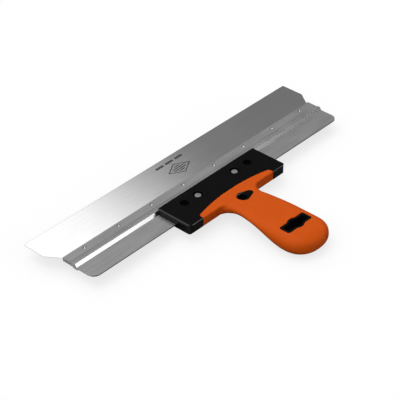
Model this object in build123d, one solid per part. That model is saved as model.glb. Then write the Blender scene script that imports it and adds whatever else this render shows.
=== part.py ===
from build123d import *
import math
import os

# Wide flexible putty knife. Millimetres. +X runs along the working edge, +Y from the grip towards
# the working edge, +Z up. The origin is the middle of the working edge, on the blade's mid-plane.

# ---- driving dimensions: blade -------------------------------------------------------------
BLADE_LENGTH = 450.0            # along the working edge
BLADE_THICKNESS = 0.5
BLADE_SHOULDER_Y = -31.0        # where the blade's sides start to slant in
BLADE_TAIL_HALF = 212.0         # half length of the part inside the rail
BLADE_CORNER_R = 1.5
BLADE_SHOULDER_R = 3.0
BLADE_TAIL_GAP = 0.6            # free space behind the blade in the rail's slot

# ---- driving dimensions: rail (one extrusion, section in the YZ plane) ---------------------
RAIL_LENGTH = 426.8
LIP_Y = -49.8                   # front of both jaws
SLOT_DEPTH = 14.0
SLOT_CLEARANCE = 0.03           # above and below the blade
JAW_TOP = 2.25
JAW_BOTTOM = -2.6
RIDGE_TOP = 3.1
RIDGE_FOOT_Y = -64.6            # where the jaw rises to the ridge
RIDGE_FRONT_Y = -66.4
RIDGE_REAR_Y = -69.2
FACET_REAR_Y = -72.2            # foot of the sloped facet behind the ridge
FLANGE_TOP = -0.6
FLANGE_THICKNESS = 1.5
RAIL_REAR_Y = -98.4
HEEL_BOTTOM = -3.8              # thick root under the ridge
HEEL_FRONT_Y = -67.0
HEEL_REAR_Y = -73.4
HEEL_SLOPE = 1.2                # depth of its sloped front and rear
RAIL_FRONT_CORNER_R = 0.8
RAIL_REAR_CORNER_R = 10.0
STAKE_COUNT = 8
STAKE_PITCH = 53.65
STAKE_SHIFT = 2.5               # the row of marks sits this far off the middle
STAKE_Y = -55.3
STAKE_R = 1.7
STAKE_TIP_R = 0.3
STAKE_DEPTH = 1.2
GROOVE_Y = -62.6                # shallow extrusion line in front of the ridge
GROOVE_WIDTH = 0.8
GROOVE_DEPTH = 0.25
LIP_R = 0.7                     # rounding of the jaws' front edges
RIDGE_R = 0.6                   # of the ridge's front edge and of the heel
FACET_R = 0.3                   # of the edges above and below the facet

# ---- driving dimensions: block of the handle -----------------------------------------------
BLOCK_HALF = 84.0
BLOCK_FRONT_Y = -69.6
BLOCK_REAR_Y = -120.3
BLOCK_TOP = 7.2
BLOCK_BOTTOM = -5.5
BLOCK_END_R = 3.0               # rounding of the top edges at the two ends
BLOCK_LONG_R = 1.3              # rounding of the long edges, and of the ends' lower edges
BLOCK_FRONT_CORNER_R = 3.0
BLOCK_REAR_CORNER_R = 6.0
FLANGE_GAP = 0.05               # between the flange and the moulding

# ---- driving dimensions: rivets ------------------------------------------------------------
RIVET_X = 32.0
RIVET_Y = -85.3
RIVET_HEAD_R = 4.0
RIVET_HEAD_HEIGHT = 1.2
RIVET_SHANK_R = 2.0
RIVET_BORE_R = 1.15
RIVET_BULB_R = 3.2
RIVET_BULB_HEIGHT = 1.9
RIVET_BULB_ROUND = 0.75
RIVET_RECESS_R = 5.8
RIVET_RECESS_DEPTH = 2.3
RIVET_UNDER_RECESS_R = 4.6
RIVET_UNDER_RECESS_DEPTH = 2.3
MANDREL_R = 1.1
MANDREL_HEAD_R = 1.75
MANDREL_HEAD_HEIGHT = 0.4
MANDREL_BREAK_DEPTH = 0.3       # the stem breaks this far below the top of the head
RIVET_FIT = 0.05                # radial clearance of the shank
SPARE_HOLE_X = 55.0
SPARE_HOLE_R = 5.5
SPARE_HOLE_DEPTH = 4.0
SPARE_PILOT_R = 2.0
SPARE_PILOT_DEPTH = 6.5

# ---- driving dimensions: soft cover and grip -----------------------------------------------
COVER_HALF = 61.5               # half width of the cover on the block
COVER_APEX_Y = -105.6           # its curved front edge, in the middle
COVER_SHOULDER_Y = -113.4       # and at its two ends
COVER_SHOULDER_R = 4.5
COVER_THICKNESS = 2.5
NECK_HALF = 25.0                # half width where the grip is narrowest
NECK_TOP = 7.8
NECK_BOTTOM = -2.4
FLARE_R = 20.0                  # the neck flares out to the block on this radius
FLARE_LENGTH = 15.0
NECK_Y = -146.0
NECK_MIDDLE = 3.8               # height of the widest line
BELLY_HALF = 32.4
BELLY_Y = -212.0
TIP_Y = -240.3
TAIL_TOP = 8.8
TAIL_BOTTOM = -17.2
TAIL_MIDDLE = -3.6
TIP_MIDDLE = -6.0               # the widest line sinks to this height at the tip
ROOT_SQUARENESS = 6.0           # superellipse exponents of the section's rounded corners
GRIP_SQUARENESS = 2.1
ROOT_CORNER = 6.0               # how far in from the sides the section's corners are rounded
NECK_UPPER_CORNER = 9.5
NECK_LOWER_CORNER = 10.0
TAIL_UPPER_CORNER = 15.0
TAIL_LOWER_CORNER = 30.0
ROOT_BLEND = 3.0                # the corners turn round over this distance
TIP_PLAN_SQUARENESS = 2.3       # superellipse exponents of the tip, seen from above and from the side
TIP_TOP_SQUARENESS = 2.7
TIP_BOTTOM_SQUARENESS = 2.2
TAPER_POWER = 1.4               # how late the grip widens behind the neck
DEEPENING_POWER = 3             # how much later it deepens
ROOT_STEP = 0.1                 # the grip's root sits this far inside the block's flats
CORNER_STEPS = 7                # spline points on a quarter of the section: over its corner
FLAT_STEPS = 3                  # and over its flat part
# sections of the grip, by distance behind the block's rear face; the first two are inside it
BODY_STATIONS = [-6.0, -2.0, 0.5, 2.5, 6.0, 10.0, 13.0, 20.0, 30.0, 45.0, 60.0, 78.0]
CAP_STEPS = 7                   # sections from the widest place to the tip

# ---- driving dimensions: hang hole and tail slot -------------------------------------------
HANG_Y = -126.3
HANG_WINDOW_R = 7.8             # round end of the teardrop window in the cover
HANG_POINT_X = 11.4             # centre of its narrow end
HANG_POINT_R = 4.4
HANG_HOLE_R = 5.5
HANG_HOLE_X = -0.5
SLOT_Y = -204.0
SLOT_WINDOW_LENGTH = 41.2
SLOT_WINDOW_WIDTH = 14.6
SLOT_BULGE_WIDTH = 19.0         # overall width across the bulge in the middle
SLOT_BULGE_R = 11.0
SLOT_RIM = 3.0
SLOT_CORNER_R = 2.3
SLOT_SHOULDER_R = 2.5
WINDOW_SINK = 0.8               # how far the hard rims sit below the cover

HALF = 0.5
FAR = 400.0                     # longer than the tool, for cutting prisms


# ---- helpers -------------------------------------------------------------------------------
def prism(sketch, low, high):
    """A plan shape in the XY plane raised from z = low to z = high."""
    return extrude(Plane.XY.offset(low) * sketch, amount=high - low)


def section_prism(sketch, half):
    """A section drawn with (y, z) coordinates, extruded along X over -half to half."""
    plane = Plane(origin=(-half, 0, 0), x_dir=(0, 1, 0), z_dir=(1, 0, 0))
    return extrude(plane * sketch, amount=2 * half)


def front_prism(sketch, front_y, rear_y):
    """A section drawn with (x, z) coordinates, extruded backwards from front_y to rear_y."""
    plane = Plane(origin=(0, front_y, 0), x_dir=(1, 0, 0), z_dir=(0, -1, 0))
    return extrude(plane * sketch, amount=front_y - rear_y)


def closed_face(points):
    return make_face(Polyline(*points, close=True))


def vertices_at(sketch, *places):
    """The sketch's vertices that lie at the given (x, y) places."""
    found = []
    for vertex in sketch.vertices():
        for place in places:
            if math.dist((vertex.X, vertex.Y), place) < 0.01:
                found.append(vertex)
    return found


def upright_cylinder(radius, low, high, x, y):
    return Pos(x, y, low) * Cylinder(radius, high - low, align=(Align.CENTER, Align.CENTER, Align.MIN))


def both_sides(make, x):
    """The same feature at x and at -x, as a list."""
    return [make(-x), make(x)]


# ---- blade ---------------------------------------------------------------------------------
def make_blade():
    half = BLADE_LENGTH * HALF
    tail_y = LIP_Y - SLOT_DEPTH + BLADE_TAIL_GAP
    outline = closed_face([
        (-half, 0), (half, 0), (half, BLADE_SHOULDER_Y), (BLADE_TAIL_HALF, LIP_Y),
        (BLADE_TAIL_HALF, tail_y), (-BLADE_TAIL_HALF, tail_y), (-BLADE_TAIL_HALF, LIP_Y),
        (-half, BLADE_SHOULDER_Y),
    ])
    outline = fillet(vertices_at(outline, (-half, 0), (half, 0)), BLADE_CORNER_R)
    shoulders = vertices_at(outline, (-half, BLADE_SHOULDER_Y), (half, BLADE_SHOULDER_Y))
    outline = fillet(shoulders, BLADE_SHOULDER_R)
    return prism(outline, -BLADE_THICKNESS * HALF, BLADE_THICKNESS * HALF)


# ---- rail ----------------------------------------------------------------------------------
def rail_section():
    slot_half = BLADE_THICKNESS * HALF + SLOT_CLEARANCE
    slot_end = LIP_Y - SLOT_DEPTH
    flange_bottom = FLANGE_TOP - FLANGE_THICKNESS
    lip_top = (LIP_Y, JAW_TOP)
    lip_bottom = (LIP_Y, JAW_BOTTOM)
    ridge_front = (RIDGE_FRONT_Y, RIDGE_TOP)
    ridge_rear = (RIDGE_REAR_Y, RIDGE_TOP)
    heel_front = (HEEL_FRONT_Y, HEEL_BOTTOM)
    heel_rear = (HEEL_REAR_Y, HEEL_BOTTOM)
    profile = closed_face([
        lip_top, (RIDGE_FOOT_Y, JAW_TOP), ridge_front, ridge_rear,
        (FACET_REAR_Y, FLANGE_TOP), (RAIL_REAR_Y, FLANGE_TOP), (RAIL_REAR_Y, flange_bottom),
        (HEEL_REAR_Y - HEEL_SLOPE, flange_bottom), heel_rear, heel_front,
        (HEEL_FRONT_Y + HEEL_SLOPE, JAW_BOTTOM), lip_bottom,
        (LIP_Y, -slot_half), (slot_end, -slot_half), (slot_end, slot_half), (LIP_Y, slot_half),
    ])
    profile = fillet(vertices_at(profile, lip_top, lip_bottom), LIP_R)
    profile = fillet(vertices_at(profile, ridge_front, heel_front, heel_rear), RIDGE_R)
    return fillet(vertices_at(profile, ridge_rear, (FACET_REAR_Y, FLANGE_TOP)), FACET_R)


def rail_plan():
    half = RAIL_LENGTH * HALF
    front = [(-half, LIP_Y), (half, LIP_Y)]
    rear = [(half, RAIL_REAR_Y), (-half, RAIL_REAR_Y)]
    plan = closed_face(front + rear)
    plan = fillet(vertices_at(plan, *front), RAIL_FRONT_CORNER_R)
    return fillet(vertices_at(plan, *rear), RAIL_REAR_CORNER_R)


def stake_mark(x):
    """The cone that a pointed punch leaves in the upper jaw."""
    cone = Cone(STAKE_TIP_R, STAKE_R, STAKE_DEPTH, align=(Align.CENTER, Align.CENTER, Align.MIN))
    return Pos(x, STAKE_Y, JAW_TOP - STAKE_DEPTH) * cone


def rivet_hole(x):
    return upright_cylinder(RIVET_SHANK_R + RIVET_FIT, -FAR, FAR, x, RIVET_Y)


def make_rail():
    rail = section_prism(rail_section(), RAIL_LENGTH * HALF)
    rail = rail & prism(rail_plan(), -FAR, FAR)
    groove = Pos(0, GROOVE_Y, JAW_TOP) * Box(FAR * 2, GROOVE_WIDTH, GROOVE_DEPTH * 2)
    first = STAKE_SHIFT - (STAKE_COUNT - 1) * HALF * STAKE_PITCH
    stakes = [stake_mark(first + index * STAKE_PITCH) for index in range(STAKE_COUNT)]
    return rail - [groove] - stakes - both_sides(rivet_hole, RIVET_X)


# ---- outer shape of the handle -------------------------------------------------------------
def block_envelope():
    """The cross block: three prisms crossed, so that each family of edges has its own rounding."""
    front_corners = [(-BLOCK_HALF, BLOCK_FRONT_Y), (BLOCK_HALF, BLOCK_FRONT_Y)]
    rear_corners = [(BLOCK_HALF, BLOCK_REAR_Y), (-BLOCK_HALF, BLOCK_REAR_Y)]
    plan = closed_face(front_corners + rear_corners)
    plan = fillet(vertices_at(plan, *front_corners), BLOCK_FRONT_CORNER_R)
    plan = fillet(vertices_at(plan, *rear_corners), BLOCK_REAR_CORNER_R)

    side = closed_face([
        (BLOCK_FRONT_Y, BLOCK_TOP), (BLOCK_REAR_Y, BLOCK_TOP),
        (BLOCK_REAR_Y, BLOCK_BOTTOM), (BLOCK_FRONT_Y, BLOCK_BOTTOM),
    ])
    side = fillet(side.vertices(), BLOCK_LONG_R)

    top_corners = [(-BLOCK_HALF, BLOCK_TOP), (BLOCK_HALF, BLOCK_TOP)]
    bottom_corners = [(BLOCK_HALF, BLOCK_BOTTOM), (-BLOCK_HALF, BLOCK_BOTTOM)]
    end = closed_face(top_corners + bottom_corners)
    end = fillet(vertices_at(end, *top_corners), BLOCK_END_R)
    end = fillet(vertices_at(end, *bottom_corners), BLOCK_LONG_R)

    block = prism(plan, BLOCK_BOTTOM, BLOCK_TOP)
    return block & section_prism(side, BLOCK_HALF) & front_prism(end, BLOCK_FRONT_Y, BLOCK_REAR_Y)


def smooth_step(value):
    value = min(max(value, 0.0), 1.0)
    return value * value * (3.0 - 2.0 * value)


def superellipse(across, squareness):
    """Height of a unit superellipse at a distance 0 to 1 from its middle."""
    return max(0.0, 1.0 - across ** squareness) ** (1 / squareness)


def quarter_section(half_width, corner, height, squareness):
    """Points from the widest line to just short of the middle: a rounded corner and then a flat."""
    flat = half_width - corner
    points = []
    for step in range(CORNER_STEPS + 1):
        angle = math.pi * HALF * step / CORNER_STEPS
        out = corner * math.cos(angle) ** (2 / squareness)
        points.append((flat + out, height * math.sin(angle) ** (2 / squareness)))
    for step in range(1, FLAT_STEPS):
        points.append((flat * (1 - step / FLAT_STEPS), height))
    return points


def between(first, second, share):
    return first + (second - first) * share


def grip_section(distance, inset=0.0):
    """Closed smooth section of the grip at a distance behind the block."""
    length = BLOCK_REAR_Y - TIP_Y - inset
    belly = BLOCK_REAR_Y - BELLY_Y
    neck = BLOCK_REAR_Y - NECK_Y
    taper = min(max((distance - neck * HALF) / (belly - neck * HALF), 0.0), 1.0)
    widening = math.sin(math.pi * HALF * taper) ** TAPER_POWER
    deepening = widening ** DEEPENING_POWER
    settling = smooth_step(distance / neck)
    rounding = smooth_step(distance / ROOT_BLEND)

    half_width = between(NECK_HALF, BELLY_HALF, widening)
    reach = min(max(FLARE_LENGTH - distance, 0.0), FLARE_LENGTH)
    half_width += FLARE_R - math.sqrt(FLARE_R ** 2 - reach ** 2)
    block_middle = (BLOCK_TOP + BLOCK_BOTTOM) * HALF
    top = between(BLOCK_TOP - ROOT_STEP, NECK_TOP, settling) + (TAIL_TOP - NECK_TOP) * widening
    bottom = between(BLOCK_BOTTOM + ROOT_STEP, NECK_BOTTOM, settling)
    bottom += (TAIL_BOTTOM - NECK_BOTTOM) * deepening
    middle = between(block_middle, NECK_MIDDLE, settling) + (TAIL_MIDDLE - NECK_MIDDLE) * deepening
    upper_corner = between(ROOT_CORNER, NECK_UPPER_CORNER, rounding)
    upper_corner += (TAIL_UPPER_CORNER - NECK_UPPER_CORNER) * widening
    lower_corner = between(ROOT_CORNER, NECK_LOWER_CORNER, settling)
    lower_corner += (TAIL_LOWER_CORNER - NECK_LOWER_CORNER) * widening
    squareness = between(ROOT_SQUARENESS, GRIP_SQUARENESS, rounding)

    beyond = max(0.0, (distance - belly) / (length - belly))
    middle += (TIP_MIDDLE - TAIL_MIDDLE) * beyond ** 2
    plan = superellipse(beyond, TIP_PLAN_SQUARENESS)
    rise = (top - middle - inset) * superellipse(beyond, TIP_TOP_SQUARENESS)
    drop = (middle - bottom - inset) * superellipse(beyond, TIP_BOTTOM_SQUARENESS)
    wide = (half_width - inset) * plan
    above = quarter_section(wide, (upper_corner - inset) * plan, rise, squareness)
    below = quarter_section(wide, (lower_corner - inset) * plan, -drop, squareness)

    points = above + [(0, rise)] + [(-x, z) for x, z in reversed(above)]
    points += [(-x, z) for x, z in below[1:]] + [(0, -drop)] + below[:0:-1]
    plane = Plane(origin=(0, BLOCK_REAR_Y - distance, middle), x_dir=(1, 0, 0), z_dir=(0, -1, 0))
    return plane * make_face(Spline(*points, periodic=True))


def grip_envelope(inset=0.0):
    """The grip, lofted from inside the block to its tip, optionally pulled in on every side."""
    length = BLOCK_REAR_Y - TIP_Y - inset
    belly = BLOCK_REAR_Y - BELLY_Y
    stations = BODY_STATIONS + [belly]
    for step in range(1, CAP_STEPS):
        stations.append(belly + (length - belly) * math.sin(math.pi * HALF * step / CAP_STEPS))
    sections = [grip_section(distance, inset) for distance in stations]
    return loft(sections + [Vertex(0, BLOCK_REAR_Y - length, TIP_MIDDLE)])


def handle_envelope():
    return block_envelope() + grip_envelope()


# ---- windows and openings ------------------------------------------------------------------
def teardrop():
    """Plan outline of the hang window: a big and a small circle joined by their tangents."""
    big = HANG_WINDOW_R
    small = HANG_POINT_R
    lean = math.asin((big - small) / HANG_POINT_X)
    big_x = big * math.sin(lean)
    big_y = big * math.cos(lean)
    small_x = HANG_POINT_X + small * math.sin(lean)
    small_y = small * math.cos(lean)
    upper = Line((big_x, big_y), (small_x, small_y))
    nose = ThreePointArc((small_x, small_y), (HANG_POINT_X + small, 0), (small_x, -small_y))
    lower = Line((small_x, -small_y), (big_x, -big_y))
    back = ThreePointArc((big_x, -big_y), (-big, 0), (big_x, big_y))
    return Pos(0, HANG_Y) * make_face([upper, nose, lower, back])


def slot_outline(length, width, bulge_width):
    """Plan outline of the tail slot: a rounded bar with a lens-shaped bulge in its middle."""
    bar = Rectangle(length, width)
    bar = fillet(bar.vertices(), SLOT_CORNER_R)
    lens_shift = SLOT_BULGE_R - bulge_width * HALF
    lens = Pos(0, -lens_shift) * Circle(SLOT_BULGE_R) & Pos(0, lens_shift) * Circle(SLOT_BULGE_R)
    outline = bar + lens
    shoulder_y = width * HALF
    shoulder_x = math.sqrt(SLOT_BULGE_R ** 2 - (shoulder_y + lens_shift) ** 2)
    shoulders = [(side * shoulder_x, up * shoulder_y) for side in (-1, 1) for up in (-1, 1)]
    outline = fillet(vertices_at(outline, *shoulders), SLOT_SHOULDER_R)
    return Pos(0, SLOT_Y) * outline


def windows():
    """The two window prisms cut through the soft cover and filled by the core's rims."""
    slot_window = slot_outline(SLOT_WINDOW_LENGTH, SLOT_WINDOW_WIDTH, SLOT_BULGE_WIDTH)
    return [prism(teardrop(), -FAR, FAR), prism(slot_window, -FAR, FAR)]


def openings():
    """The two openings right through the handle."""
    slot = slot_outline(
        SLOT_WINDOW_LENGTH - 2 * SLOT_RIM,
        SLOT_WINDOW_WIDTH - 2 * SLOT_RIM,
        SLOT_BULGE_WIDTH - 2 * SLOT_RIM)
    return [upright_cylinder(HANG_HOLE_R, -FAR, FAR, HANG_HOLE_X, HANG_Y), prism(slot, -FAR, FAR)]


# ---- handle core ---------------------------------------------------------------------------
def cover_zone():
    """Everything behind the cover's curved front edge, as a tall prism."""
    left = (-COVER_HALF, COVER_SHOULDER_Y)
    right = (COVER_HALF, COVER_SHOULDER_Y)
    front = ThreePointArc(left, (0, COVER_APEX_Y), right)
    rest = Polyline(right, (COVER_HALF, -FAR), (-COVER_HALF, -FAR), left)
    zone = make_face([front, rest])
    zone = fillet(vertices_at(zone, left, right), COVER_SHOULDER_R)
    return prism(zone, -FAR, FAR)


def flange_seat():
    """The room the rail's ridge, root and flange need inside the block."""
    gap = FLANGE_GAP
    flange_bottom = FLANGE_TOP - FLANGE_THICKNESS
    open_y = LIP_Y
    seat = closed_face([
        (open_y, RIDGE_TOP + gap), (RIDGE_REAR_Y - gap, RIDGE_TOP + gap),
        (FACET_REAR_Y - gap, FLANGE_TOP + gap), (RAIL_REAR_Y - gap, FLANGE_TOP + gap),
        (RAIL_REAR_Y - gap, flange_bottom - gap), (HEEL_REAR_Y - HEEL_SLOPE - gap, flange_bottom - gap),
        (HEEL_REAR_Y - gap, HEEL_BOTTOM - gap), (open_y, HEEL_BOTTOM - gap),
    ])
    return section_prism(seat, FAR)


def rivet_seat(x):
    """Recess for the head, hole for the shank and recess for the set end."""
    return [
        upright_cylinder(RIVET_RECESS_R, BLOCK_TOP - RIVET_RECESS_DEPTH, FAR, x, RIVET_Y),
        rivet_hole(x),
        upright_cylinder(
            RIVET_UNDER_RECESS_R, -FAR, BLOCK_BOTTOM + RIVET_UNDER_RECESS_DEPTH, x, RIVET_Y),
    ]


def spare_hole(x):
    """Blind counterbore with a smaller pilot, for a second pair of rivets."""
    return [
        upright_cylinder(SPARE_HOLE_R, BLOCK_TOP - SPARE_HOLE_DEPTH, FAR, x, RIVET_Y),
        upright_cylinder(SPARE_PILOT_R, BLOCK_TOP - SPARE_PILOT_DEPTH, FAR, x, RIVET_Y),
    ]


def make_handle_core():
    zone = cover_zone()
    inner_half = COVER_HALF - COVER_THICKNESS
    front_y = RAIL_REAR_Y - COVER_THICKNESS
    rear_y = BLOCK_REAR_Y + COVER_THICKNESS
    low = BLOCK_BOTTOM + COVER_THICKNESS
    high = BLOCK_TOP - COVER_THICKNESS
    inner_block = Pos(0, (front_y + rear_y) * HALF, (low + high) * HALF) * Box(
        2 * inner_half, front_y - rear_y, high - low)
    rim_block = grip_envelope(WINDOW_SINK)
    rims = [window & (rim_block + block_envelope()) & zone for window in windows()]
    core = (block_envelope() - zone) + inner_block + grip_envelope(COVER_THICKNESS)
    core = core + rims
    core = core - [flange_seat()]
    for x in (-RIVET_X, RIVET_X):
        core = core - rivet_seat(x)
    for x in (-SPARE_HOLE_X, SPARE_HOLE_X):
        core = core - spare_hole(x)
    return core - openings()


def make_grip_cover(core):
    cover = handle_envelope() & cover_zone()
    cover = cover - windows()
    return cover - [core]


# ---- rivets --------------------------------------------------------------------------------
def rivet_body(x):
    """Blind rivet sleeve: low domed head, hollow shank and the bulb formed under the block."""
    seat_z = BLOCK_TOP - RIVET_RECESS_DEPTH
    under_z = BLOCK_BOTTOM + RIVET_UNDER_RECESS_DEPTH
    bulb_z = under_z - RIVET_BULB_HEIGHT
    head = upright_cylinder(RIVET_HEAD_R, seat_z, seat_z + RIVET_HEAD_HEIGHT, x, RIVET_Y)
    head = fillet(head.edges().sort_by(Axis.Z)[-1], RIVET_HEAD_HEIGHT * HALF)
    shank = upright_cylinder(RIVET_SHANK_R, bulb_z, seat_z, x, RIVET_Y)
    bulb = upright_cylinder(RIVET_BULB_R, bulb_z, under_z, x, RIVET_Y)
    bulb = fillet(bulb.edges().filter_by(GeomType.CIRCLE), RIVET_BULB_ROUND)
    bore = upright_cylinder(RIVET_BORE_R, -FAR, FAR, x, RIVET_Y)
    return head + shank + bulb - [bore]


def rivet_mandrel(x):
    """The broken-off mandrel: a stem inside the sleeve and its head just below the bulb."""
    seat_z = BLOCK_TOP - RIVET_RECESS_DEPTH
    bulb_z = BLOCK_BOTTOM + RIVET_UNDER_RECESS_DEPTH - RIVET_BULB_HEIGHT
    break_z = seat_z + RIVET_HEAD_HEIGHT - MANDREL_BREAK_DEPTH
    stem = upright_cylinder(MANDREL_R, bulb_z - MANDREL_HEAD_HEIGHT, break_z, x, RIVET_Y)
    head = upright_cylinder(MANDREL_HEAD_R, bulb_z - MANDREL_HEAD_HEIGHT, bulb_z, x, RIVET_Y)
    return stem + head


def make_all():
    core = make_handle_core()
    return {
        "blade": make_blade(),
        "rail": make_rail(),
        "handle_core": core,
        "grip_cover": make_grip_cover(core),
        "rivet_bodies": Compound(both_sides(rivet_body, RIVET_X)),
        "rivet_mandrels": Compound(both_sides(rivet_mandrel, RIVET_X)),
    }


if __name__ == "__main__":
    os.makedirs("parts", exist_ok=True)
    for name, shape in make_all().items():
        export_step(shape, f"parts/{name}.step")
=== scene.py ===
import bmesh
import bpy
import math
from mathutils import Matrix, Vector


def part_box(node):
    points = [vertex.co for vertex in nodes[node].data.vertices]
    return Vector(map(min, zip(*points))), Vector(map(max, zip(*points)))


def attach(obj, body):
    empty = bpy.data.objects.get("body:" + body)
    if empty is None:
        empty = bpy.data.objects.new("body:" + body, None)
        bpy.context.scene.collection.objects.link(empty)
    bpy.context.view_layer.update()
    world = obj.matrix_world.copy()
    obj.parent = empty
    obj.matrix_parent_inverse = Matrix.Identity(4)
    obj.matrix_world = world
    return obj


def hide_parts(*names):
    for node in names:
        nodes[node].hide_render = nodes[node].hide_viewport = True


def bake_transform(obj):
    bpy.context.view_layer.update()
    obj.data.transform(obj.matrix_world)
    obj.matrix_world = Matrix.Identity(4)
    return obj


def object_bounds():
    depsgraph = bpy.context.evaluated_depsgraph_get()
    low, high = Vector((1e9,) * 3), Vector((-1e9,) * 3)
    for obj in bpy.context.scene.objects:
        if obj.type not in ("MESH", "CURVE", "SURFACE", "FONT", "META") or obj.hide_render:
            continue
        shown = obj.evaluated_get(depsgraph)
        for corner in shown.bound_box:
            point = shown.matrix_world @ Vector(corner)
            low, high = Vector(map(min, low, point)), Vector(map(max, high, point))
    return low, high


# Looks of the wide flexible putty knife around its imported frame. Metres. +X runs along the working
# edge, +Y from the grip towards the edge, +Z up; the origin is the middle of the working edge.
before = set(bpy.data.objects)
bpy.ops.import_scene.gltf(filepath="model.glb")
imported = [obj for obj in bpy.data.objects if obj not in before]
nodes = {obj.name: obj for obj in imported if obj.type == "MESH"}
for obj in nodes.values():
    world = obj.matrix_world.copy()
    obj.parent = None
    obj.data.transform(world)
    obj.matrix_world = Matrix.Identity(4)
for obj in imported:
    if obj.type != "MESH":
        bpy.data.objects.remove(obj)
cad_low, cad_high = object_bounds()

MM = 0.001
blade_low, blade_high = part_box("blade")
_, rail_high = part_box("rail")
LIP_Y = rail_high.y                      # front of the rail's jaws, where the free blade starts
EDGE_Y = blade_high.y                    # working edge

# Blade
SHOULDER_Y = -31 * MM                    # its ends slant in from here to the rail
HELD_HALF_LENGTH = 212 * MM              # half length of the part that the rail holds
CORNER_R = 1.5 * MM                      # corners of the working edge
BEVEL = 0.08 * MM                        # breaks the blade's sharp edges
COLUMNS = 60                             # divisions along the blade
FREE_ROWS = 60                           # divisions from the rail's lip to the corners
CORNER_ROWS = 6                          # divisions over the corners' radius
HELD_ROW_Y = LIP_Y - 8 * MM              # the one row of points between the blade's rear and the lip

# Punch marks that hold the blade in the rail
STAKE_PITCH = 53.65 * MM
STAKE_Y = LIP_Y - 5.5 * MM
STAKE_SHIFT = 2.5 * MM                   # the row of marks sits this far off the middle

# Mark etched on the blade: a row of dashes and, behind it, a ruled lozenge in a frame. Places in the
# lozenge are on a scale from 0 in its middle to 1 at its edge.
DASH_COUNT = 3
DASH_PITCH = 16 * MM
DASH_SHARE = 0.8                         # of the pitch that a dash covers
DASH_WIDTH = 3.6 * MM
DASH_Y = -9.5 * MM
LOZENGE_Y = -26.5 * MM
LOZENGE_HALF_LENGTH = 19 * MM
LOZENGE_HALF_WIDTH = 11 * MM
FRAME_LINE = 0.92                        # middle of the frame's line
FRAME_LINE_HALF = 0.07                   # half width of the frame's line
RULED_TO = 0.66                          # the ruling reaches this far out
RULING_PITCH = 3.2 * MM


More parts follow.
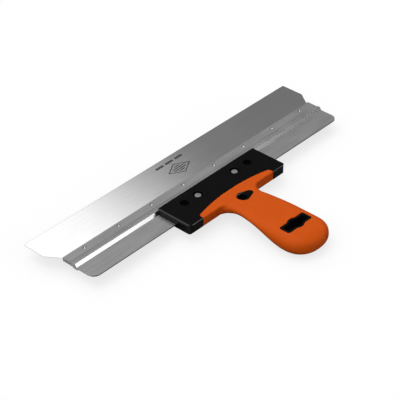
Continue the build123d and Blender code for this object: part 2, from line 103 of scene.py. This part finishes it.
# ---- node helpers --------------------------------------------------------------------------
class Tree:
    """Short calls for building a node tree. Inputs may be numbers, tuples or output sockets."""

    def __init__(self, owner):
        owner.use_nodes = True
        self.tree = owner.node_tree
        self.tree.nodes.clear()

    def put(self, socket, value):
        if isinstance(value, bpy.types.NodeSocket):
            self.tree.links.new(value, socket)
        else:
            socket.default_value = value

    def node(self, kind, settings=None, **inputs):
        made = self.tree.nodes.new(kind)
        for name, value in (settings or {}).items():
            setattr(made, name, value)
        for name, value in inputs.items():
            self.put(made.inputs[name.replace("_", " ")], value)
        return made

    def calc(self, operation, first, second=0.0):
        made = self.node("ShaderNodeMath", {"operation": operation})
        self.put(made.inputs[0], first)
        self.put(made.inputs[1], second)
        return made.outputs[0]

    def product(self, first, *others):
        for other in others:
            first = self.calc("MULTIPLY", first, other)
        return first

    def total(self, first, *others):
        for other in others:
            first = self.calc("ADD", first, other)
        return first

    def distance(self, value, middle):
        return self.calc("ABSOLUTE", self.calc("SUBTRACT", value, middle))

    def within(self, value, middle, half):
        """1 where value is less than half away from middle, else 0."""
        return self.calc("LESS_THAN", self.distance(value, middle), half)

    def map_range(self, interpolation, value, low, high, out_low, out_high):
        made = self.node("ShaderNodeMapRange", {"interpolation_type": interpolation})
        for socket, number in zip(made.inputs, (value, low, high, out_low, out_high)):
            self.put(socket, number)
        return made.outputs[0]

    def ramp(self, value, low, high, out_low, out_high):
        """A smooth step of value from low to high, running from out_low to out_high."""
        return self.map_range("SMOOTHSTEP", value, low, high, out_low, out_high)

    def rise(self, value, low, high):
        """A smooth step from 0 at low to 1 at high."""
        return self.ramp(value, low, high, 0.0, 1.0)

    def drop(self, value, low, high):
        """A smooth step from 1 at low to 0 at high."""
        return self.ramp(value, low, high, 1.0, 0.0)

    def fall(self, value, low, high, power):
        """From 1 at low to 0 at high, steep at first when power is above 1."""
        return self.calc("POWER", self.map_range("LINEAR", value, low, high, 1.0, 0.0), power)

    def stretch(self, vector, scale):
        made = self.node("ShaderNodeVectorMath", {"operation": "MULTIPLY"})
        self.put(made.inputs[0], vector)
        self.put(made.inputs[1], scale)
        return made.outputs[0]

    def noise(self, vector, scale, detail=2.0):
        """Noise about 0.5 whose patches are 1 / scale metres wide; scale is one number or per axis."""
        scales = scale if isinstance(scale, tuple) else (scale, scale, scale)
        made = self.node("ShaderNodeTexNoise", Scale=1.0, Detail=detail, Roughness=0.5)
        self.put(made.inputs["Vector"], self.stretch(vector, scales))
        return made.outputs["Fac"]

    def spread(self, noise, low, high):
        """Noise, whose values mostly lie from 0.3 to 0.7, spread out between low and high."""
        return self.ramp(noise, 0.3, 0.7, low, high)

    def mix(self, factor, first, second):
        made = self.node("ShaderNodeMix", {"data_type": "RGBA"})
        self.put(made.inputs[0], factor)
        self.put(made.inputs[6], first)
        self.put(made.inputs[7], second)
        return made.outputs[2]

    def as_grey(self, level):
        return self.node("ShaderNodeCombineColor", Red=level, Green=level, Blue=level).outputs[0]

    def blend_shaders(self, factor, first, second):
        made = self.node("ShaderNodeMixShader")
        for socket, value in zip(made.inputs, (factor, first, second)):
            self.put(socket, value)
        return made.outputs[0]

    def bump(self, height, distance, strength, normal=None):
        made = self.node("ShaderNodeBump", Height=height, Distance=distance, Strength=strength)
        if normal is not None:
            self.put(made.inputs["Normal"], normal)
        return made.outputs["Normal"]

    def soft_edges(self, radius):
        """A normal that rounds sharp edges off by this radius."""
        return self.node("ShaderNodeBevel", {"samples": 4}, Radius=radius).outputs["Normal"]

    def place(self):
        """Coordinates in the shared frame."""
        return self.node("ShaderNodeTexCoord").outputs["Object"]

    def split(self, vector):
        return self.node("ShaderNodeSeparateXYZ", Vector=vector).outputs

    def normal(self):
        """The three parts of the surface's normal."""
        return self.split(self.node("ShaderNodeNewGeometry").outputs["Normal"])

    def seen(self):
        """1 for rays straight from the camera, else 0."""
        return self.node("ShaderNodeLightPath").outputs["Is Camera Ray"]


def grey(level):
    return (level, level, level, 1.0)


def surface(name, tree_maker):
    """A material whose Principled inputs come from tree_maker(tree)."""
    material = bpy.data.materials.new(name)
    tree = Tree(material)
    shader = tree.node("ShaderNodeBsdfPrincipled")
    for socket, value in tree_maker(tree).items():
        tree.put(shader.inputs[socket], value)
    tree.node("ShaderNodeOutputMaterial", Surface=shader.outputs[0])
    return material


# ---- materials -----------------------------------------------------------------------------
def etched_mark(tree, x, y):
    """Mask of the mark: 1 where the blade is etched."""
    share_of_pitch = tree.calc("FRACT", tree.total(tree.calc("DIVIDE", x, DASH_PITCH), 0.5))
    in_dash = tree.within(share_of_pitch, 0.5, DASH_SHARE / 2)
    in_length = tree.within(x, 0.0, DASH_COUNT * DASH_PITCH / 2)
    in_width = tree.within(y, DASH_Y, DASH_WIDTH / 2)
    dashes = tree.product(in_length, in_width, in_dash)

    across = tree.calc("DIVIDE", tree.distance(x, 0.0), LOZENGE_HALF_LENGTH)
    along = tree.calc("DIVIDE", tree.distance(y, LOZENGE_Y), LOZENGE_HALF_WIDTH)
    outward = tree.total(across, along)
    frame_line = tree.within(outward, FRAME_LINE, FRAME_LINE_HALF)
    ruling = tree.calc("LESS_THAN", tree.calc("FRACT", tree.calc("DIVIDE", y, RULING_PITCH)), 0.5)
    ruled = tree.product(tree.calc("LESS_THAN", outward, RULED_TO), ruling)
    return tree.calc("MAXIMUM", dashes, tree.calc("MAXIMUM", frame_line, ruled))


def blade_steel(tree):
    """Brushed stainless steel with the mark on its upper face, darkened along the working edge as painted
    shade.
    """
    flat = tree.stretch(tree.place(), (1, 1, 0))
    x, y, _ = tree.split(flat)
    _, _, normal_z = tree.normal()
    brushing = tree.noise(flat, (30, 2200, 1), 3)
    clouds = tree.noise(flat, (14, 30, 1))
    mark = tree.product(etched_mark(tree, x, y), tree.calc("GREATER_THAN", normal_z, 0.0))
    # Painted shade: the colour darkens in a narrow band along the working edge, standing in for the shade
    # of its bevel.
    painted_edge_shade = tree.ramp(y, EDGE_Y - 0.9 * MM, EDGE_Y - 0.4 * MM, 1.0, 0.72)
    level = tree.product(tree.spread(brushing, 0.59, 0.64), painted_edge_shade)
    return {
        "Base Color": tree.mix(mark, tree.as_grey(level), grey(0.07)),
        "Metallic": 1.0,
        "Roughness": tree.total(tree.spread(clouds, 0.07, 0.09), tree.product(brushing, 0.02),
                                tree.product(mark, 0.25)),
        "Normal": tree.bump(brushing, 0.0005 * MM, 0.5),
    }


def from_nearest_stake(tree, x, y):
    """Distance of a point on the rail's jaw from the nearest punch mark, in metres."""
    pitches = tree.calc("DIVIDE", tree.calc("SUBTRACT", x, STAKE_SHIFT), STAKE_PITCH)
    sideways = tree.product(tree.calc("SUBTRACT", tree.calc("FRACT", pitches), 0.5), STAKE_PITCH)
    along = tree.calc("SUBTRACT", y, STAKE_Y)
    return tree.calc("SQRT", tree.total(tree.product(sideways, sideways), tree.product(along, along)))


def rail_aluminium(tree):
    """Extruded aluminium, streaky along its length, with sawn ends, a painted highlight on the facet,
    painted light on faces turned towards +Y, and punch marks painted as a highlight in a ring of shade.
    """
    place = tree.place()
    x, y, _ = tree.split(place)
    normal_x, normal_y, _ = tree.normal()
    lines = tree.noise(place, (8, 1500, 1500), 3)
    streaks = tree.noise(place, (30, 280, 280), 3)
    clouds = tree.noise(place, (25, 60, 60))
    mean = tree.product(tree.total(lines, streaks, clouds), 1 / 3)
    plain = tree.ramp(mean, 0.35, 0.65, 0.235, 0.295)

    # Painted highlight: the slanted facet's base colour is raised to stand in for its reflection of the
    # light.
    facet = tree.product(tree.drop(normal_y, -0.75, -0.7), tree.rise(normal_y, -0.85, -0.82))
    # Painted light: faces turned towards +Y are made up to 1.4 times brighter.
    painted_front_light = tree.ramp(normal_y, 0.1, 0.35, 1.0, 1.4)
    from_stake = from_nearest_stake(tree, x, y)
    # Painted shade in a ring round each punch mark, and a painted highlight in its middle.
    painted_stake_ring_shade = tree.ramp(from_stake, 1.6 * MM, 3.4 * MM, 0.72, 1.0)
    painted_stake_highlight = tree.ramp(from_stake, 0.8 * MM, 1.7 * MM, 0.66, 0.0)
    sawn = tree.product(tree.rise(tree.distance(normal_x, 0.0), 0.7, 0.9), 0.8)

    level = tree.product(tree.calc("MAXIMUM", plain, tree.product(facet, 0.45)), painted_front_light, painted_stake_ring_shade)
    level = tree.calc("MAXIMUM", tree.calc("MAXIMUM", level, painted_stake_highlight), sawn)
    dull = tree.product(tree.spread(clouds, 0.46, 0.54), tree.calc("SUBTRACT", 1.0, facet))
    return {
        "Base Color": tree.as_grey(level),
        "Metallic": 1.0,
        "Roughness": tree.total(dull, tree.product(facet, 0.20)),
        "Normal": tree.bump(lines, 0.005 * MM, 0.5, tree.soft_edges(0.15 * MM)),
    }


def black_plastic(tree):
    """Black moulded plastic whose reflection is set by facing as painted light: weak on top, stronger on
    the walls, cut on the rear wall and dimmed in holes as painted shade, and boosted on the rear upper
    edge as a painted glint.
    """
    place = tree.place()
    _, normal_y, normal_z = tree.normal()
    grain = tree.noise(place, 2500)
    clouds = tree.noise(place, 40)
    # Painted light: reflection is weak on upward faces and stronger on walls, cut on the rear wall as
    # painted shade, and dimmed in holes by ambient occlusion as painted shade.
    painted_wall_sheen = tree.ramp(normal_z, 0.8, 0.99, 0.4, 0.02)
    painted_rear_shade = tree.ramp(normal_y, -0.95, -0.7, 0.25, 1.0)
    openness = tree.node("ShaderNodeAmbientOcclusion", {"samples": 8}, Distance=8 * MM).outputs["AO"]
    painted_sheen = tree.product(painted_wall_sheen, painted_rear_shade, openness, openness)
    # Painted glint: extra reflection on the rounded rear upper edge.
    rear_edge = tree.ramp(tree.distance(normal_y, -0.78), 0.1, 0.2, 0.8, 0.0)
    painted_edge_glint = tree.product(rear_edge, tree.rise(normal_z, 0.2, 0.4))
    return {
        "Base Color": tree.mix(clouds, grey(0.002), grey(0.0035)),
        "Roughness": tree.spread(clouds, 0.26, 0.34),
        "Specular IOR Level": tree.total(painted_sheen, painted_edge_glint),
        "Normal": tree.bump(grain, 0.02 * MM, 0.3, tree.soft_edges(0.25 * MM)),
    }


def orange_rubber(tree):
    """Matt orange elastomer with a fine grain."""
    place = tree.place()
    grain = tree.noise(place, 1800)
    clouds = tree.noise(place, 55, 3)
    return {
        "Base Color": tree.mix(clouds, (0.457, 0.063, 0.002, 1), (0.519, 0.072, 0.003, 1)),
        "Roughness": tree.spread(clouds, 0.52, 0.62),
        "Specular IOR Level": 0.07,
        "Normal": tree.bump(grain, 0.03 * MM, 0.3),
    }


def pressed_aluminium(tree):
    """The rivet sleeves' slightly dimpled aluminium."""
    dimples = tree.noise(tree.place(), 700, 3)
    return {
        "Base Color": tree.as_grey(tree.spread(dimples, 0.20, 0.26)),
        "Metallic": 1.0,
        "Roughness": tree.spread(dimples, 0.45, 0.55),
        "Normal": tree.bump(dimples, 0.02 * MM, 0.5),
    }


def broken_steel(tree):
    """The grainy steel of the mandrels' broken ends."""
    crystals = tree.noise(tree.place(), 3000, 3)
    return {
        "Base Color": tree.mix(crystals, grey(0.16), grey(0.32)),
        "Metallic": 1.0,
        "Roughness": 0.5,
        "Normal": tree.bump(crystals, 0.05 * MM, 0.8),
    }


def dress(piece, material):
    piece.data.materials.clear()
    piece.data.materials.append(material)


# ---- pieces --------------------------------------------------------------------------------
def add_object(name, data):
    made = bpy.data.objects.new(name, data)
    bpy.context.scene.collection.objects.link(made)
    return made


def as_data(mesh, name):
    """A new mesh of this name from a bmesh, which is used up."""
    data = bpy.data.meshes.new(name)
    mesh.to_mesh(data)
    mesh.free()
    return data


def smooth_shading(piece):
    piece.data.polygons.foreach_set("use_smooth", [True] * len(piece.data.polygons))


def bake_modifiers(piece):
    """The piece's modifiers become its mesh."""
    depsgraph = bpy.context.evaluated_depsgraph_get()
    mesh = bpy.data.meshes.new_from_object(piece.evaluated_get(depsgraph), depsgraph=depsgraph)
    piece.modifiers.clear()
    piece.data = mesh


def moulded_core():
    """The hard core: a copy of the frame's mesh, closed by taking out edges that have no length."""
    core = add_object("moulded_core", nodes["handle_core"].data.copy())
    mesh = bmesh.new()
    mesh.from_mesh(core.data)
    bmesh.ops.dissolve_degenerate(mesh, dist=0.0001 * MM, edges=mesh.edges)
    mesh.to_mesh(core.data)
    mesh.free()
    dress(core, surface("black_plastic", black_plastic))
    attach(core, "handle")
    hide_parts("handle_core")


def grip_cover():
    """The soft overmould: the frame's solid, its edges rounded as moulded rubber's are."""
    cover = add_object("soft_grip_cover", nodes["grip_cover"].data.copy())
    remesh = cover.modifiers.new("voxels", "REMESH")
    remesh.mode = "VOXEL"
    remesh.voxel_size = 0.6 * MM
    smooth = cover.modifiers.new("round", "SMOOTH")
    smooth.factor = 0.5
    smooth.iterations = 10
    bake_modifiers(cover)
    smooth_shading(cover)
    dress(cover, surface("orange_rubber", orange_rubber))
    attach(cover, "handle")
    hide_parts("grip_cover")


def blade_half_length(y):
    """Half length of the blade at y: full in front, slanting in to the part the rail holds."""
    full = blade_high.x
    if y > EDGE_Y - CORNER_R:
        into_corner = CORNER_R - (EDGE_Y - y)
        return full - CORNER_R + math.sqrt(max(CORNER_R ** 2 - into_corner ** 2, 0.0))
    if y > SHOULDER_Y:
        return full
    share = min((SHOULDER_Y - y) / (SHOULDER_Y - LIP_Y), 1.0)
    return full + (HELD_HALF_LENGTH - full) * share


def blade_rows():
    """Y of each row of the blade's points: few in the rail, many over the free part and the corners."""
    free_length = EDGE_Y - CORNER_R - LIP_Y
    turns = [math.pi / 2 * step / CORNER_ROWS for step in range(1, CORNER_ROWS + 1)]
    held = [blade_low.y, HELD_ROW_Y]
    free = [LIP_Y + free_length * step / FREE_ROWS for step in range(FREE_ROWS + 1)]
    corner = [EDGE_Y - CORNER_R * (1 - math.sin(turn)) for turn in turns]
    return held + free + corner


def blade_layer(mesh, rows, level, inset):
    """A grid of points at one level, whose rim is drawn in by inset."""
    shares = [2 * column / COLUMNS - 1 for column in range(COLUMNS + 1)]
    places = [rows[0] + inset] + rows[1:-1] + [rows[-1] - inset]
    layer = []
    for y, place in zip(rows, places):
        half = blade_half_length(y) - inset
        layer.append([mesh.verts.new((half * share, place, level)) for share in shares])
    return layer


def fill_grid(mesh, grid):
    """Four-sided faces between neighbouring lines of points."""
    for near, far in zip(grid, grid[1:]):
        for index in range(len(near) - 1):
            mesh.faces.new((near[index], near[index + 1], far[index + 1], far[index]))


def rim_of(layer):
    """The points round the outside of a layer, in order."""
    right = [line[-1] for line in layer[:-1]]
    left = [line[0] for line in reversed(layer[1:])]
    return layer[0][:-1] + right + layer[-1][:0:-1] + left


def join_rims(mesh, upper, lower):
    """A closed band of faces between two rims."""
    for index in range(len(upper)):
        following = (index + 1) % len(upper)
        mesh.faces.new((upper[following], upper[index], lower[index], lower[following]))


def blade_mesh():
    """A thin strip: upper and lower face, joined round the rim by a bevel, a wall and a bevel."""
    half_thick = (blade_high.z - blade_low.z) / 2
    half_wall = half_thick - BEVEL
    levels = ((half_thick, BEVEL), (half_wall, 0.0), (-half_wall, 0.0), (-half_thick, BEVEL))
    rows = blade_rows()
    mesh = bmesh.new()
    layers = [blade_layer(mesh, rows, level, inset) for level, inset in levels]
    fill_grid(mesh, layers[0])
    fill_grid(mesh, [line[::-1] for line in layers[-1]])
    rims = [rim_of(layer) for layer in layers]
    for upper, lower in zip(rims, rims[1:]):
        join_rims(mesh, upper, lower)
    for layer in layers[1:-1]:
        for line in layer[1:-1]:
            for point in line[1:-1]:
                mesh.verts.remove(point)
    bmesh.ops.recalc_face_normals(mesh, faces=mesh.faces)
    return as_data(mesh, "flexible_blade")


def flexible_blade():
    """The steel blade, whose mesh is finely divided in front of the rail's lip."""
    blade = add_object("flexible_blade", blade_mesh())
    dress(blade, surface("blade_steel", blade_steel))
    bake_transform(blade)
    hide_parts("blade")


# ---- studio --------------------------------------------------------------------------------
def floor_paper():
    """White to the camera, dark to other rays so that little light comes back up, clear from below."""
    material = bpy.data.materials.new("studio_floor")
    tree = Tree(material)
    seen = tree.seen()
    paper = tree.mix(tree.noise(tree.place(), 3), grey(0.86), grey(0.89))
    color = tree.mix(seen, grey(0.2), paper)
    matt = tree.node("ShaderNodeBsdfDiffuse", Color=color).outputs[0]
    glow = tree.node("ShaderNodeEmission", Color=grey(0.97)).outputs[0]
    above = tree.blend_shaders(tree.product(seen, 0.78), matt, glow)
    below = tree.node("ShaderNodeBsdfTransparent").outputs[0]
    from_below = tree.node("ShaderNodeNewGeometry").outputs["Backfacing"]
    tree.node("ShaderNodeOutputMaterial", Surface=tree.blend_shaders(from_below, above, below))
    return material


def studio_floor():
    """A large square just under the tool's lowest point."""
    half_size = 6.0
    gap_below_tool = 0.2 * MM
    mesh = bmesh.new()
    bmesh.ops.create_grid(mesh, x_segments=8, y_segments=8, size=half_size)
    floor = add_object("studio_floor", as_data(mesh, "studio_floor"))
    floor.location = (0, 0, cad_low.z - gap_below_tool)
    dress(floor, floor_paper())


def ceiling_panel(tree, x, y, z):
    """A bright rectangle overhead, given by where a direction meets a ceiling one unit up."""
    height = tree.calc("MAXIMUM", z, 0.001)
    over_x = tree.calc("DIVIDE", x, height)
    over_y = tree.calc("DIVIDE", y, height)
    span_x = tree.product(tree.fall(over_x, 0.905, 1.08, 1.5), tree.rise(over_x, -0.9, -0.3))
    span_y = tree.product(tree.rise(over_y, -0.2, 0.3), tree.drop(over_y, 1.6, 2.2))
    return tree.product(span_x, span_y)


def key_light(tree, x, y, z):
    """A soft disc of light high over the blade's -X end."""
    middle = Vector((-0.55, 0.0, 0.8)).normalized()
    facing = tree.total(tree.product(x, middle.x), tree.product(y, middle.y), tree.product(z, middle.z))
    return tree.rise(facing, math.cos(math.radians(44)), math.cos(math.radians(28)))


def strip_light(tree, x, y, z):
    """An upright strip behind the grip, from the floor to some 33 degrees up."""
    heading = tree.calc("ARCTAN2", y, x)
    sideways = tree.distance(heading, math.radians(-62))
    return tree.product(tree.drop(sideways, math.radians(11), math.radians(14.5)),
                        tree.drop(z, 0.5, 0.6), tree.rise(z, -0.02, 0.02))


def studio_light():
    """Dim walls, a slightly lighter ceiling and three bright shapes for the metal to reflect."""
    world = bpy.data.worlds.new("studio")
    bpy.context.scene.world = world
    tree = Tree(world)
    x, y, z = tree.split(tree.node("ShaderNodeTexCoord").outputs["Generated"])
    walls = 0.18
    ceiling = tree.product(z, z, 0.25)
    panel = tree.product(ceiling_panel(tree, x, y, z), 1.4)
    key = tree.product(key_light(tree, x, y, z), 1.75)
    strip = tree.product(strip_light(tree, x, y, z), 2.9)
    level = tree.total(walls, ceiling, panel, key, strip)
    color = tree.mix(tree.seen(), tree.as_grey(level), grey(0.95))
    background = tree.node("ShaderNodeBackground", Color=color)
    tree.node("ShaderNodeOutputWorld", Surface=background.outputs[0])


def studio_camera():
    """A long lens that looks at the tool from the -X, -Y side and from 36 degrees up."""
    azimuth = math.radians(-47.92)
    elevation = math.radians(36.06)
    distance = 1.722
    target = Vector((-0.0316, -0.0881, 0.0))
    level_part = math.cos(elevation)
    back = Vector((math.sin(azimuth) * level_part, -math.cos(azimuth) * level_part, math.sin(elevation)))
    data = bpy.data.cameras.new("camera")
    data.lens = 134.6
    data.sensor_width = 36.0
    camera = add_object("camera", data)
    camera.location = target + back * distance
    camera.rotation_mode = "QUATERNION"
    camera.rotation_quaternion = (-back).to_track_quat("-Z", "Y")
    bpy.context.scene.camera = camera


bpy.context.scene.view_settings.view_transform = "Standard"
dress(nodes["rail"], surface("rail_aluminium", rail_aluminium))
dress(nodes["rivet_bodies"], surface("pressed_aluminium", pressed_aluminium))
dress(nodes["rivet_mandrels"], surface("broken_steel", broken_steel))
moulded_core()
grip_cover()
flexible_blade()
studio_floor()
studio_light()
studio_camera()
